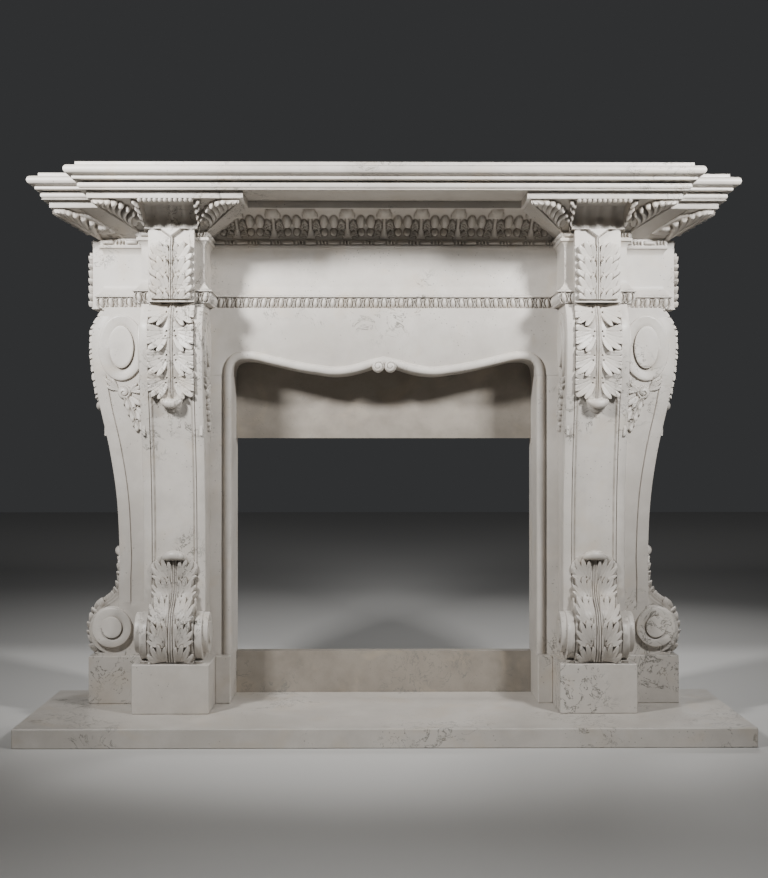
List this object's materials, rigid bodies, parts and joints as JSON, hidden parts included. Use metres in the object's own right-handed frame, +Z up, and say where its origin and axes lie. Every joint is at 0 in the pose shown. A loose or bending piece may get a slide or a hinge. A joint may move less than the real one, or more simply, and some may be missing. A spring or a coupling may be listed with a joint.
{
  "type": "fireplace mantel",
  "caption": "Carved stone fireplace mantel on a hearth slab: scrolled acanthus consoles on stepped plinths, serpentine lintel, carved frieze and cornice, moulded shelf.",
  "frame": {"origin": "centre of the bounding box at the underside of the hearth slab", "axes": "+Z up, -Y out of the carved front into the room, +Y to the wall, +X to the right of a viewer facing the front"},
  "size_m": [2.114, 0.588, 1.658],
  "materials": {
    "carved_stone": "honed cream marble, hand carved",
    "hearth_stone": "honed cream marble slab",
    "slip_stone": "honed marble slips with fine veins"
  },
  "bodies": {
    "root": {"hearth_slab": "hearth_stone", "plinth_left": "carved_stone", "plinth_right": "carved_stone", "pier_left": "carved_stone", "pier_right": "carved_stone", "console_front_left": "carved_stone", "console_front_right": "carved_stone", "console_side_left": "carved_stone", "console_side_right": "carved_stone", "jamb_base_left": "carved_stone", "jamb_base_right": "carved_stone", "jamb_left": "carved_stone", "jamb_right": "carved_stone", "lintel": "carved_stone", "frieze_course": "carved_stone", "cornice_course": "carved_stone", "mantel_shelf": "carved_stone", "firebox_sill": "slip_stone", "firebox_header": "slip_stone"}
  },
  "joints": []
}
